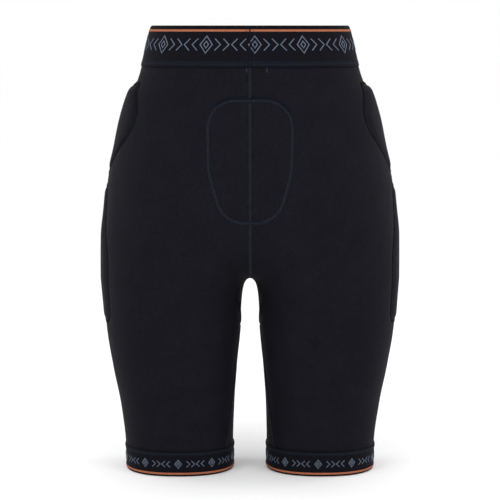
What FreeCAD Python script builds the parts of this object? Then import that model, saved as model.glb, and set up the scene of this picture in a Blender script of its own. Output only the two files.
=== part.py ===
import FreeCAD, Part
import Sketcher
import math
import os
from FreeCAD import Placement, Rotation, Vector

# Padded impact shorts, standing on their two hem bands.
# Millimetres.  +Z is up, +Y is the wearer's front, +X is the wearer's right.
# Fabric shells are lofted through a body form; the protectors are PartDesign
# bodies revolved about the axis that each of them slides round in its pocket.

doc = FreeCAD.newDocument("ImpactShorts")
sheet = doc.addObject("Spreadsheet::Sheet", "Dimensions")

DIMENSIONS = [
    ("overall_height", 574.0),
    ("form_forward", 15.0),
    ("waistband_height", 51.0),
    ("hem_band_height", 32.0),
    ("fabric_thickness", 1.4),
    ("band_thickness", 2.0),
    ("band_proud", 0.5),
    ("stripe_height", 2.8),
    ("stripe_thickness", 0.5),
    ("waist_stripe_level", 566.9),
    ("hem_stripe_level", 2.4),
    ("gripper_level", 9.0),
    ("gripper_height", 16.0),
    ("gripper_thickness", 0.8),
    ("seam_width", 6.0),
    ("seam_thickness", 0.6),
    ("mouth_binding_width", 5.4),
    ("lay_gap", 0.2),
    ("liner_thickness", 1.2),
    ("liner_gap", 0.8),
    ("pocket_ease", 3.0),
    ("pad_thickness", 9.0),
    ("groove_width", 4.0),
    ("groove_depth", 2.0),
    ("hip_axis_across", 65.0),
    ("hip_axis_forward", -5.0),
    ("hip_centre_height", 445.0),
    ("hip_half_height", 48.0),
    ("hip_radius_low", 98.0),
    ("hip_radius_high", 82.8),
    ("hip_curve_radius", 256.0),
    ("hip_span", 76.0),
    ("hip_centre_angle", 3.0),
    ("hip_corner", 20.0),
    ("hip_foot_corner", 20.0),
    ("thigh_axis_across", 104.0),
    ("thigh_axis_forward", -4.0),
    ("thigh_centre_height", 283.0),
    ("thigh_half_height", 80.0),
    ("thigh_radius_low", 76.5),
    ("thigh_radius_high", 76.5),
    ("thigh_curve_radius", 480.0),
    ("thigh_span", 90.0),
    ("thigh_centre_angle", 19.0),
    ("thigh_corner", 26.0),
    ("thigh_foot_corner", 26.0),
    ("coccyx_axis_forward", 100.0),
    ("coccyx_axis_height", 368.0),
    ("coccyx_half_height", 44.0),
    ("coccyx_radius_low", 221.9),
    ("coccyx_radius_high", 221.9),
    ("coccyx_curve_radius", 300.0),
    ("coccyx_span", 35.8),
    ("coccyx_centre_angle", 10.2),
    ("coccyx_corner", 20.0),
    ("coccyx_foot_corner", 38.0),
    ("label_width", 34.0),
    ("label_height", 24.0),
    ("label_thickness", 0.6),
    ("label_clearance", 1.0),
]
for line, (alias, value) in enumerate(DIMENSIONS, start=1):
    sheet.set("A%d" % line, alias.replace("_", " "))
    sheet.set("B%d" % line, str(value))
    sheet.setAlias("B%d" % line, alias)
doc.recompute()


def dim(alias):
    return float(sheet.get(alias))


# The middle of the body form stands a little ahead of the middle of the
# overall box, which is the frame's origin.
FORM_PLACE = Vector(0, dim("form_forward"), 0)


# ---------------------------------------------------------------- body form
# One half of the body (the wearer's left, at negative X), at a few heights:
# height, outer side, inner edge, front depth, back depth,
# and where across the front and the back stand furthest out.
# Below the crotch the inner edge is the inside of the leg.  Above it the
# section is wide enough to cross the middle plane, where it is cut.
CROTCH = 252.0
STATIONS = [
    (0, 161.2, -22, 64, 66, -92, -92),
    (32, 162.2, -22, 66, 69, -92, -92),
    (84, 168.7, -20.5, 71, 76, -94, -94),
    (135, 178.7, -17, 78, 84, -97, -98),
    (186, 186.7, -12.5, 86, 90, -98, -99),
    (224, 189.7, -10, 89, 98, -95, -96),
    (244, 191.2, -7, 90, 104, -88, -90),
    (CROTCH, 191.7, 0, 90, 107, -82, -85),
    (268, 191.7, 20, 91, 113, -68, -74),
    (304, 191.2, 66, 93, 124, -46, -50),
    (340, 187.7, 105, 97, 130.5, -22, -38),
    (368, 184.7, 128, 100, 132, -8, -28),
    (390, 181.2, 140, 101, 130.5, -3, -22),
    (420, 174.2, 140, 102, 125, 0, -15),
    (455, 166.7, 140, 102, 114.5, 0, -8),
    (480, 159.2, 140, 101, 103.5, 0, -4),
    (493, 153.7, 140, 99.5, 98.5, 0, -2),
    (503, 145.2, 140, 98, 95.5, 0, 0),
    (523, 138.7, 140, 95, 92.5, 0, 0),
    (549, 132.7, 140, 91, 88.5, 0, 0),
    (568, 127.7, 140, 88.5, 86, 0, 0),
    (574, 125.2, 140, 86.5, 84, 0, 0),
]
SECTION_ROUNDNESS = 2.3
SECTION_POINTS = 32
HEIGHTS = [station[0] for station in STATIONS]


def rounded_slopes(heights, values):
    """Slopes at the stations that give a smooth curve with no overshoot."""
    rises = []
    for low in range(len(values) - 1):
        rises.append((values[low + 1] - values[low]) / (heights[low + 1] - heights[low]))
    slopes = [rises[0]]
    for before, after in zip(rises, rises[1:]):
        slopes.append(2 * before * after / (before + after) if before * after > 0 else 0.0)
    slopes.append(rises[-1])
    return slopes


CURVES = []
for column in range(1, len(STATIONS[0])):
    column_values = [station[column] for station in STATIONS]
    CURVES.append((column_values, rounded_slopes(HEIGHTS, column_values)))


def form_at(height):
    """The six sizes of the body form at any height, clamped at both ends."""
    level = min(max(height, HEIGHTS[0]), HEIGHTS[-1])
    low = 0
    while low < len(HEIGHTS) - 2 and level > HEIGHTS[low + 1]:
        low += 1
    step = HEIGHTS[low + 1] - HEIGHTS[low]
    t = (level - HEIGHTS[low]) / step
    sizes = []
    for values, slopes in CURVES:
        start = (2 * t**3 - 3 * t**2 + 1) * values[low] + (t**3 - 2 * t**2 + t) * step * slopes[low]
        end = (3 * t**2 - 2 * t**3) * values[low + 1] + (t**3 - t**2) * step * slopes[low + 1]
        sizes.append(start + end)
    return sizes


def section(height, outset, whole):
    """Points round the half body at a height, the first repeated at the end;
    outset is measured outwards.  A whole section is the same on both sides
    of the middle plane."""
    side, inner, front, back, crest_front, crest_back = form_at(height)
    side += outset
    inner = side if whole else inner + outset
    points = []
    for index in range(SECTION_POINTS + 1):
        angle = 2 * math.pi * (index % SECTION_POINTS) / SECTION_POINTS
        across, along = math.cos(angle), math.sin(angle)
        crest = crest_front if along >= 0 else crest_back
        depth = (front if along >= 0 else back) + outset
        reach = inner - crest if across >= 0 else side + crest
        x = crest + math.copysign(abs(across)**(2 / SECTION_ROUNDNESS), across) * reach
        y = math.copysign(abs(along)**(2 / SECTION_ROUNDNESS), along) * depth
        points.append(Vector(x, y, height))
    return points


def solid_through(outlines):
    """One B-spline surface through the outlines, closed by flat ends."""
    surface = Part.BSplineSurface()
    surface.interpolate(outlines)
    side = surface.toShape()
    flat_edges = [edge for edge in side.Edges if edge.BoundBox.ZLength < FLAT]
    caps = [Part.Face(Part.Wire([edge])) for edge in flat_edges]
    shell = Part.makeShell([side] + caps)
    shell.sewShape()
    solid = Part.makeSolid(shell)
    if solid.Volume < 0:
        solid.reverse()
    return solid


FLAT = 0.001
FORM_LOW = 20.0
FORM_STEP = 12.0
FORM_SECTIONS = 44


def form(outset):
    """The half body from inside the hem band to inside the waistband."""
    levels = [FORM_LOW + FORM_STEP * index for index in range(FORM_SECTIONS)]
    return solid_through([section(level, outset, False) for level in levels])


def ring(heights, outset_outer, outset_inner, whole):
    """A closed band of fabric between two offsets of the form."""
    overshoot = Vector(0, 0, 5)
    outer = solid_through([section(height, outset_outer, whole) for height in heights])
    outlines = [section(height, outset_inner, whole) for height in heights]
    below = [point - overshoot for point in outlines[0]]
    above = [point + overshoot for point in outlines[-1]]
    return outer.cut(solid_through([below] + outlines + [above]))


def block(low, high):
    """A box between two corners."""
    size = Vector(*high).sub(Vector(*low))
    return Part.makeBox(size.x, size.y, size.z, Vector(*low))


def feature(label, shape):
    """One sub-part whose shape is made with Part's own functions."""
    solid = shape.Solids[0] if len(shape.Solids) == 1 else shape
    item = doc.addObject("Part::Feature", label)
    item.Label = label
    item.Shape = solid
    item.Placement = Placement(FORM_PLACE, Rotation())
    return item


def mirrored(shape):
    return shape.mirror(Vector(0, 0, 0), Vector(1, 0, 0))


def both_sides(label, left_shape):
    feature(label + "_left", left_shape)
    feature(label + "_right", mirrored(left_shape))


FAR = 400.0
fabric = dim("fabric_thickness")
lay_gap = dim("lay_gap")
panel_low = dim("hem_band_height")
panel_high = dim("overall_height") - dim("waistband_height")

skin_outside = form(0.0)
skin_inside = form(-fabric)
room_inside = form(-fabric - lay_gap)
left_side = block((-FAR, -FAR, panel_low), (0, FAR, panel_high))
left_skin = skin_outside.common(left_side).cut(skin_inside)

# ---------------------------------------------------------------- fabric panels
# The gusset is a diamond seen from the side, sewn in where the four panels meet.
GUSSET_REACH = 60.0
GUSSET_HALF_LENGTH = 50.0
GUSSET_DROP = 62.0
GUSSET_RISE = 24.0
diamond = Part.makePolygon([
    Vector(-GUSSET_REACH, -GUSSET_HALF_LENGTH, CROTCH - GUSSET_RISE),
    Vector(-GUSSET_REACH, 0, CROTCH - GUSSET_DROP),
    Vector(-GUSSET_REACH, GUSSET_HALF_LENGTH, CROTCH - GUSSET_RISE),
    Vector(-GUSSET_REACH, GUSSET_HALF_LENGTH, CROTCH + GUSSET_RISE),
    Vector(-GUSSET_REACH, -GUSSET_HALF_LENGTH, CROTCH + GUSSET_RISE),
    Vector(-GUSSET_REACH, -GUSSET_HALF_LENGTH, CROTCH - GUSSET_RISE),
])
gusset_prism = Part.Face(diamond).extrude(Vector(GUSSET_REACH, 0, 0))
left_gusset = left_skin.common(gusset_prism)
feature("crotch_gusset", left_gusset.fuse(mirrored(left_gusset)).removeSplitter())

left_panels = left_skin.cut(gusset_prism)
behind = block((-FAR, -FAR, 0), (FAR, 0, FAR * 2))
ahead = block((-FAR, 0, 0), (FAR, FAR, FAR * 2))
both_sides("back_panel", left_panels.common(behind))
both_sides("front_panel", left_panels.common(ahead))

# ---------------------------------------------------------------- knitted bands
band = dim("band_thickness")
proud = dim("band_proud")


def levels_from(low, rise):
    return [low, low + rise / 3, low + rise * 2 / 3, low + rise]


WAIST_STEPS = 6
waist_step = dim("waistband_height") / WAIST_STEPS
waist_heights = [panel_high + waist_step * index for index in range(WAIST_STEPS + 1)]
feature("waistband", ring(waist_heights, proud, proud - band, True))
both_sides("hem_band", ring(levels_from(0, panel_low), proud, proud - band, False))

stripe_in = proud + lay_gap / 2
stripe_out = stripe_in + dim("stripe_thickness")
waist_stripe = dim("waist_stripe_level")
hem_stripe = dim("hem_stripe_level")
stripe_height = dim("stripe_height")
feature("waistband_stripe", ring(levels_from(waist_stripe, stripe_height), stripe_out, stripe_in, True))
both_sides("hem_stripe", ring(levels_from(hem_stripe, stripe_height), stripe_out, stripe_in, False))

gripper_low = dim("gripper_level")
gripper_out = proud - band - 2 * lay_gap
gripper_heights = levels_from(gripper_low, dim("gripper_height"))
both_sides("hem_gripper", ring(gripper_heights, gripper_out, gripper_out - dim("gripper_thickness"), False))

# The label hangs inside the back of the waistband, clear of its curve.
label_low = panel_high - dim("label_height") / 2
label_high = label_low + dim("label_height")
label_back = form_at(label_high)[3] - band - dim("label_clearance")
feature("care_label", block((-dim("label_width") / 2, -label_back, label_low),
                            (dim("label_width") / 2, dim("label_thickness") - label_back, label_high)))

# ---------------------------------------------------------------- pockets
# Each pocket is a shallow knitted tray sewn to the inside of the shell.  Its
# floor is a surface of revolution about the axis that its pad slides round.
tail = math.radians(dim("coccyx_centre_angle"))
PADS = {
    "hip": (Vector(-dim("hip_axis_across"), dim("hip_axis_forward"), dim("hip_centre_height")),
            Rotation(Vector(0, 0, 1), 180 - dim("hip_centre_angle"))),
    "thigh": (Vector(-dim("thigh_axis_across"), dim("thigh_axis_forward"), dim("thigh_centre_height")),
              Rotation(Vector(0, 0, 1), 180 - dim("thigh_centre_angle"))),
    "coccyx": (Vector(0, dim("coccyx_axis_forward"), dim("coccyx_axis_height")),
               Rotation(Vector(0, -math.cos(tail), math.sin(tail)),
                        Vector(0, -math.sin(tail), -math.cos(tail)),
                        Vector(1, 0, 0), "XYZ")),
}
ROOM_REACH = 60.0


def swept_band(kind, inward, half_height, start, stop, outer_reach):
    """A band revolved about a pad's axis between two angles.  Its inner face
    lies inward of the pad's outer face, and a plain drum is its outer face."""
    low = dim(kind + "_radius_low")
    high = dim(kind + "_radius_high")
    bulge = dim(kind + "_half_height")**2 / (2 * dim(kind + "_curve_radius"))
    slope = (high - low) / (2 * dim(kind + "_half_height"))
    middle = (low + high) / 2

    def radius(level):
        share = level / dim(kind + "_half_height")
        return middle + slope * level + bulge * (1 - share**2) - inward

    face_curve = Part.Arc(Vector(radius(-half_height), 0, -half_height), Vector(radius(0), 0, 0),
                          Vector(radius(half_height), 0, half_height)).toShape()
    far = middle + outer_reach
    corners = [Vector(radius(half_height), 0, half_height), Vector(far, 0, half_height),
               Vector(far, 0, -half_height), Vector(radius(-half_height), 0, -half_height)]
    edges = [face_curve] + [Part.makeLine(one, two) for one, two in zip(corners, corners[1:])]
    profile = Part.Face(Part.Wire(Part.__sortEdges__(edges)))
    profile.rotate(Vector(0, 0, 0), Vector(0, 0, 1), start)
    solid = profile.revolve(Vector(0, 0, 0), Vector(0, 0, 1), stop - start)
    place, turn = PADS[kind]
    solid.Placement = Placement(place, turn)
    return solid


def pocket(kind):
    """The tray: a wall round three sides, and open at the pad's leading edge."""
    wall = dim("liner_thickness")
    ease = dim("pocket_ease")
    floor_out = dim("pad_thickness") + dim("liner_gap")
    half_height = dim(kind + "_half_height") + ease
    mean_radius = (dim(kind + "_radius_low") + dim(kind + "_radius_high")) / 2
    ease_angle = math.degrees(ease / mean_radius)
    wall_angle = math.degrees((ease + wall) / mean_radius)
    half_span = dim(kind + "_span") / 2
    tray_span = (-half_span - ease_angle, half_span + wall_angle)
    room_span = (-half_span - 3 * ease_angle, half_span + ease_angle)
    tray = swept_band(kind, floor_out + wall, half_height + wall, *tray_span, ROOM_REACH)
    room = swept_band(kind, floor_out, half_height, *room_span, ROOM_REACH + 10)
    return tray.cut(room)


both_sides("hip_pocket", pocket("hip").common(room_inside))
both_sides("thigh_pocket", pocket("thigh").common(room_inside))
left_of_middle = block((-FAR, -FAR, 0), (0, FAR, FAR * 2))
left_tail_pocket = pocket("coccyx").common(left_of_middle).common(room_inside)
feature("coccyx_pocket", left_tail_pocket.fuse(mirrored(left_tail_pocket)).removeSplitter())


# ---------------------------------------------------------------- protectors
def pad_body(label, kind, placement):
    """A moulded protector: a curved slab with rounded corners and flex grooves."""
    body = doc.addObject("PartDesign::Body", label)
    body.Label = label
    plane = [item for item in body.Origin.OriginFeatures if item.Role == "XZ_Plane"][0]

    def profile(name):
        sketch = body.newObject("Sketcher::SketchObject", name)
        sketch.AttachmentSupport = [(plane, "")]
        sketch.MapMode = "FlatFace"
        return sketch

    low, high = dim(kind + "_radius_low"), dim(kind + "_radius_high")
    half = dim(kind + "_half_height")
    thick = dim("pad_thickness")
    bulge = half**2 / (2 * dim(kind + "_curve_radius"))
    slab = profile(label + "_profile")

    def face_arc(inward):
        return Part.Arc(Vector(low - inward, -half, 0), Vector((low + high) / 2 - inward + bulge, 0, 0),
                        Vector(high - inward, half, 0))

    outer = slab.addGeometry(face_arc(0), False)
    inner = slab.addGeometry(face_arc(thick), False)
    foot = slab.addGeometry(Part.LineSegment(Vector(low - thick, -half, 0), Vector(low, -half, 0)), False)
    head = slab.addGeometry(Part.LineSegment(Vector(high, half, 0), Vector(high - thick, half, 0)), False)
    START, END = 1, 2

    def end_near(arc, height):
        return START if abs(slab.getPoint(arc, START).y - height) < 1 else END

    slab.addConstraint([
        Sketcher.Constraint("Coincident", foot, END, outer, end_near(outer, -half)),
        Sketcher.Constraint("Coincident", head, START, outer, end_near(outer, half)),
        Sketcher.Constraint("Coincident", foot, START, inner, end_near(inner, -half)),
        Sketcher.Constraint("Coincident", head, END, inner, end_near(inner, half)),
        Sketcher.Constraint("Horizontal", foot),
        Sketcher.Constraint("Horizontal", head),
    ])

    def drive(name, constraint, expression):
        index = slab.addConstraint(constraint)
        slab.renameConstraint(index, name)
        slab.setExpression("Constraints." + name, expression)

    origin = (-1, 1)
    drive("low_radius", Sketcher.Constraint("DistanceX", *origin, foot, END, low),
          "Dimensions.%s_radius_low" % kind)
    drive("high_radius", Sketcher.Constraint("DistanceX", *origin, head, START, high),
          "Dimensions.%s_radius_high" % kind)
    drive("low_half", Sketcher.Constraint("DistanceY", foot, END, *origin, half),
          "Dimensions.%s_half_height" % kind)
    drive("high_half", Sketcher.Constraint("DistanceY", *origin, head, START, half),
          "Dimensions.%s_half_height" % kind)
    drive("low_thick", Sketcher.Constraint("DistanceX", foot, START, foot, END, thick),
          "Dimensions.pad_thickness")
    drive("high_thick", Sketcher.Constraint("DistanceX", head, END, head, START, thick),
          "Dimensions.pad_thickness")
    drive("outer_curve", Sketcher.Constraint("Radius", outer, dim(kind + "_curve_radius")),
          "Dimensions.%s_curve_radius" % kind)
    drive("inner_curve", Sketcher.Constraint("Radius", inner, dim(kind + "_curve_radius")),
          "Dimensions.%s_curve_radius" % kind)

    turned = body.newObject("PartDesign::Revolution", label + "_slab")
    turned.Profile = slab
    turned.ReferenceAxis = (slab, ["V_Axis"])
    turned.Midplane = True
    turned.setExpression("Angle", "Dimensions.%s_span" % kind)
    doc.recompute()

    # The four short edges through the thickness are the slab's corners.  The
    # tailbone pad's two lower ones, on its trailing end, are rounder.
    base = turned
    for end, radius in (("corners", "corner"), ("foot", "foot_corner")):
        names = []
        for number, edge in enumerate(base.Shape.Edges, start=1):
            trailing = edge.CenterOfMass.y > 0
            if abs(edge.Length - thick) < 0.01 and trailing == (end == "foot"):
                names.append("Edge%d" % number)
        rounded = body.newObject("PartDesign::Fillet", label + "_" + end)
        rounded.Base = (base, names)
        rounded.setExpression("Radius", "Dimensions.%s_%s" % (kind, radius))
        doc.recompute()
        base = rounded

    flex = profile(label + "_grooves")
    width, depth = dim("groove_width"), dim("groove_depth")
    GROOVES = 3
    for number in range(GROOVES):
        level = half * (number - (GROOVES - 1) / 2) * 0.5
        share = level / half
        face = (low + high) / 2 + (high - low) / 2 * share + bulge * (1 - share**2)
        corners = [Vector(face - depth, level - width / 2, 0), Vector(face + width, level - width / 2, 0),
                   Vector(face + width, level + width / 2, 0), Vector(face - depth, level + width / 2, 0)]
        for one, two in zip(corners, corners[1:] + corners[:1]):
            flex.addGeometry(Part.LineSegment(one, two), False)
    grooves = body.newObject("PartDesign::Groove", label + "_flex")
    grooves.Profile = flex
    grooves.ReferenceAxis = (flex, ["V_Axis"])
    grooves.Midplane = True
    grooves.setExpression("Angle", "Dimensions.%s_span - 20" % kind)
    body.Tip = grooves
    body.Placement = Placement(placement.Base + FORM_PLACE, placement.Rotation)
    doc.recompute()
    return body


for kind in ("hip", "thigh"):
    place, turn = PADS[kind]
    pad_body(kind + "_pad_left", kind, Placement(place, turn))
    right_turn = Rotation(Vector(0, 0, 1), dim(kind + "_centre_angle"))
    pad_body(kind + "_pad_right", kind, Placement(Vector(-place.x, place.y, place.z), right_turn))
pad_body("coccyx_pad", "coccyx", Placement(*PADS["coccyx"]))

# ---------------------------------------------------------------- flat seams
# Flatlock seams are tapes of thread, proud of the fabric, cut from the layer
# between two offsets of the form by an outline seen from behind or the side.
thread_outside = form(lay_gap / 2 + dim("seam_thickness"))
thread_inside = form(lay_gap / 2)
seam = dim("seam_width")


def rounded_outline(corners, radii):
    """A closed outline with rounded corners in the plane X = 0, as (y, z)."""
    edges = []
    ends = []
    count = len(corners)
    for index in range(count):
        here = Vector(0, *corners[index])
        before = (Vector(0, *corners[index - 1]) - here).normalize()
        after = (Vector(0, *corners[(index + 1) % count]) - here).normalize()
        half_angle = before.getAngle(after) / 2
        run = radii[index] / math.tan(half_angle)
        centre = here + (before + after).normalize() * (radii[index] / math.sin(half_angle))
        middle = centre + (here - centre).normalize() * radii[index]
        ends.append((here + before * run, middle, here + after * run))
    for index in range(count):
        arrive, middle, leave = ends[index]
        edges.append(Part.Arc(arrive, middle, leave).toShape())
        edges.append(Part.makeLine(leave, ends[(index + 1) % count][0]))
    return Part.Wire(edges)


def seam_prism(corners, radii, reach):
    """A wall along a rounded outline, seam_width wide, standing along X."""
    wire = rounded_outline(corners, radii)
    outline = Part.Face(wire)
    inset = Part.Face(wire.makeOffset2D(-seam))
    return outline.cut(inset).extrude(Vector(reach, 0, 0))


def lay_on_form(prism):
    return prism.common(thread_outside).cut(thread_inside)


left_half = block((-FAR, -FAR, panel_low), (0, FAR, panel_high))

back_strip = block((-seam / 2, -FAR, CROTCH + 24.5), (0, 0, panel_high))
left_back_seam = lay_on_form(back_strip)
front_strip = block((-seam / 2, 0, CROTCH + 24.5), (0, FAR, panel_high))
left_front_seam = lay_on_form(front_strip)
feature("centre_front_seam", left_front_seam.fuse(mirrored(left_front_seam)).removeSplitter())

TAIL_SEAM = [(-55.5, 484), (55.5, 484), (54, 395), (36, 329.5), (-36, 329.5), (-54, 395)]
TAIL_RADII = [36, 36, 110, 39, 39, 110]
tail_prism = seam_prism(TAIL_SEAM, TAIL_RADII, FAR)
tail_prism.rotate(Vector(0, 0, 0), Vector(0, 0, 1), -90)
left_tail_seam = lay_on_form(tail_prism.common(left_half))
feature("coccyx_pocket_seam", left_tail_seam.fuse(mirrored(left_tail_seam)).removeSplitter())

# A bound strip lies along the top of the same outline: the pocket's mouth.
MOUTH_FOOT = 474.0
tail_wire = rounded_outline(TAIL_SEAM, TAIL_RADII)
mouth_outside = Part.Face(tail_wire.makeOffset2D(dim("mouth_binding_width")))


def mouth_prism(inside):
    """The bound strip's wall, from the given inner face, above its foot."""
    wall = mouth_outside.cut(inside).extrude(Vector(FAR, 0, 0))
    wall.rotate(Vector(0, 0, 0), Vector(0, 0, 1), -90)
    return wall.common(block((-FAR, -FAR, MOUTH_FOOT), (FAR, 0, panel_high)))


bound_wall = mouth_prism(Part.Face(tail_wire.makeOffset2D(2 * lay_gap)))
left_mouth = lay_on_form(bound_wall.common(left_half))
feature("coccyx_mouth_binding", left_mouth.fuse(mirrored(left_mouth)).removeSplitter())

back_seam = left_back_seam.fuse(mirrored(left_back_seam)).removeSplitter()
feature("centre_back_seam", back_seam.cut(tail_prism).cut(mouth_prism(Part.Face(tail_wire))))

HIP_SEAM = [(-78, 450), (-38, 505), (54, 502), (58, 386), (-25.5, 386)]
HIP_RADII = [37, 25, 18, 18, 25]
hip_prism = seam_prism(HIP_SEAM, HIP_RADII, -FAR)
both_sides("hip_pocket_seam", lay_on_form(hip_prism))

THIGH_SEAM = [(-33, 374), (70, 374), (66, 192), (-47, 192), (-60, 280)]
THIGH_RADII = [26, 20, 20, 22, 90]
thigh_prism = seam_prism(THIGH_SEAM, THIGH_RADII, -FAR)
thigh_prism.translate(Vector(-dim("thigh_axis_across"), 0, 0))
both_sides("thigh_pocket_seam", lay_on_form(thigh_prism))

INSEAM_BACK = -22.0
inseam_strip = block((-60, INSEAM_BACK - seam, panel_low), (0, INSEAM_BACK, CROTCH - GUSSET_DROP))
both_sides("inseam", lay_on_form(inseam_strip))

# ---------------------------------------------------------------- output
doc.recompute()
os.makedirs("parts", exist_ok=True)
for item in doc.Objects:
    if any(word in item.State for word in ("Invalid", "Error")):
        raise RuntimeError("%s is %s" % (item.Label, item.State))
    is_part = item.TypeId in ("Part::Feature", "PartDesign::Body")
    if not is_part:
        continue
    if item.Shape.isNull() or not item.Shape.isValid():
        raise RuntimeError("%s has no valid shape" % item.Label)
    item.Shape.exportStep("parts/%s.step" % item.Label)
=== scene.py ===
import math
from bisect import bisect_left

import bmesh
import bpy
import numpy as np
from mathutils import Matrix, Vector, noise
from mathutils.bvhtree import BVHTree


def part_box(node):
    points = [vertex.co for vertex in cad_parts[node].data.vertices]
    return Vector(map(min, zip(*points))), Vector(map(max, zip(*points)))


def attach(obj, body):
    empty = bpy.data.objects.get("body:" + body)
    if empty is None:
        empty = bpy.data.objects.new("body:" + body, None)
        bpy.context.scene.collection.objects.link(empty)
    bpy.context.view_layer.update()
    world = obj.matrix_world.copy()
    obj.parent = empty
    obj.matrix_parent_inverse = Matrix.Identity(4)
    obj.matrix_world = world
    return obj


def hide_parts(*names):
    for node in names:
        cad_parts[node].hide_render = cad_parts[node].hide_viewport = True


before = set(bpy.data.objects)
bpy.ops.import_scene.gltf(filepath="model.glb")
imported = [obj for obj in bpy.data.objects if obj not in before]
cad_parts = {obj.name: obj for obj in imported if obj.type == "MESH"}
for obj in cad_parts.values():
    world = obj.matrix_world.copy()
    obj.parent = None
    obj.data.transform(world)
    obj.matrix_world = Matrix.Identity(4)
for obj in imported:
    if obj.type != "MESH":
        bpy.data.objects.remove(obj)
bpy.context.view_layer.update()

MM = 0.001
FORWARD = 15.0          # the body form's middle stands this far ahead of the frame's origin
WAIST_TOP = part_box("waistband")[1][2] / MM
PANEL_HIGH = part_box("waistband")[0][2] / MM
PANEL_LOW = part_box("hem_band_left")[1][2] / MM
CROTCH = 252.0

# ---- body form
# One half of the body (the wearer's left), in millimetres: height, outer side,
# inner edge, front depth, back depth, where the front and the back stand out.
STATIONS = [
    (0, 161.2, -22, 64, 66, -92, -92),
    (32, 162.2, -22, 66, 69, -92, -92),
    (84, 168.7, -20.5, 71, 76, -94, -94),
    (135, 178.7, -17, 78, 84, -97, -98),
    (186, 186.7, -12.5, 86, 90, -98, -99),
    (224, 189.7, -10, 89, 98, -95, -96),
    (244, 191.2, -7, 90, 104, -88, -90),
    (CROTCH, 191.7, 0, 90, 107, -82, -85),
    (268, 191.7, 20, 91, 113, -68, -74),
    (304, 191.2, 66, 93, 124, -46, -50),
    (340, 187.7, 105, 97, 130.5, -22, -38),
    (368, 184.7, 128, 100, 132, -8, -28),
    (390, 181.2, 140, 101, 130.5, -3, -22),
    (420, 174.2, 140, 102, 125, 0, -15),
    (455, 166.7, 140, 102, 114.5, 0, -8),
    (480, 159.2, 140, 101, 103.5, 0, -4),
    (493, 153.7, 140, 99.5, 98.5, 0, -2),
    (503, 145.2, 140, 98, 95.5, 0, 0),
    (523, 138.7, 140, 95, 92.5, 0, 0),
    (549, 132.7, 140, 91, 88.5, 0, 0),
    (568, 127.7, 140, 88.5, 86, 0, 0),
    (574, 125.2, 140, 86.5, 84, 0, 0),
]
ROUNDNESS = 2.3
HEIGHTS = [row[0] for row in STATIONS]


def rounded_slopes(values):
    """Slopes at the stations that give a smooth curve with no overshoot."""
    rises = [(b - a) / (q - p) for a, b, p, q in zip(values, values[1:], HEIGHTS, HEIGHTS[1:])]
    inner = [2 * a * b / (a + b) if a * b > 0 else 0.0 for a, b in zip(rises, rises[1:])]
    return [rises[0]] + inner + [rises[-1]]


CURVES = []
for column in range(1, 7):
    column_values = [row[column] for row in STATIONS]
    CURVES.append((column_values, rounded_slopes(column_values)))


def form_at(height):
    level = min(max(height, HEIGHTS[0]), HEIGHTS[-1])
    low = 0
    while low < len(HEIGHTS) - 2 and level > HEIGHTS[low + 1]:
        low += 1
    step = HEIGHTS[low + 1] - HEIGHTS[low]
    t = (level - HEIGHTS[low]) / step
    sizes = []
    for values, slopes in CURVES:
        start = (2 * t**3 - 3 * t**2 + 1) * values[low] + (t**3 - 2 * t**2 + t) * step * slopes[low]
        end = (3 * t**2 - 2 * t**3) * values[low + 1] + (t**3 - t**2) * step * slopes[low + 1]
        sizes.append(start + end)
    return sizes


def form_point(angle, height, outset, whole=False):
    """A point of the form in millimetres: angle 0 is the inner edge (or the
    wearer's right on a whole section), 90 degrees is the front."""
    side, inner, front, back, crest_front, crest_back = form_at(height)
    side += outset
    inner = side if whole else inner + outset
    across, along = math.cos(angle), math.sin(angle)
    crest = crest_front if along >= 0 else crest_back
    depth = (front if along >= 0 else back) + outset
    reach = inner - crest if across >= 0 else side + crest
    x = crest + math.copysign(abs(across)**(2 / ROUNDNESS), across) * reach
    y = math.copysign(abs(along)**(2 / ROUNDNESS), along) * depth
    return Vector((x, y + FORWARD, height))


# ---- outlines
def beside(items, index, loop=False):
    """The entries before and after one; an open row repeats its ends."""
    if loop:
        return items[index - 1], items[(index + 1) % len(items)]
    return items[max(0, index - 1)], items[min(len(items) - 1, index + 1)]


def edges_of(ring):
    return zip(ring, ring[1:] + ring[:1])


def rounded_outline(corners, radii, spacing=2.0):
    """Closed polyline through rounded corners, evenly fine, in 2D millimetres."""
    points = []
    for index, corner in enumerate(corners):
        here = Vector(corner)
        before, after = [(Vector(other) - here).normalized() for other in beside(corners, index, True)]
        half = before.angle(after) / 2
        run = radii[index] / math.tan(half)
        centre = here + (before + after).normalized() * (radii[index] / math.sin(half))
        start, stop = here + before * run - centre, here + after * run - centre
        turn = start.angle_signed(stop)
        steps = max(2, int(abs(turn) * radii[index] / spacing))
        for step in range(steps + 1):
            bend = Matrix.Rotation(-turn * step / steps, 2)
            points.append(centre + bend @ start)
    filled = []
    for one, two in edges_of(points):
        pieces = max(1, int((two - one).length / spacing))
        filled += [one.lerp(two, k / pieces) for k in range(pieces)]
    return filled


def inside_distance(outline, u, v):
    """Signed distance in 2D, positive inside, for arrays u and v."""
    best = np.full(u.shape, 1e9)
    odd = np.zeros(u.shape, dtype=bool)
    for one, two in edges_of(outline):
        along = np.array([two.x - one.x, two.y - one.y])
        length = max(1e-9, float(along @ along))
        t = np.clip(((u - one.x) * along[0] + (v - one.y) * along[1]) / length, 0, 1)
        best = np.minimum(best, np.hypot(u - one.x - t * along[0], v - one.y - t * along[1]))
        crosses = (one.y > v) != (two.y > v)
        with np.errstate(divide="ignore", invalid="ignore"):
            where = one.x + (v - one.y) / (two.y - one.y if two.y != one.y else 1e-9) * along[0]
        odd ^= crosses & (u < where)
    return np.where(odd, best, -best)


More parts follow.
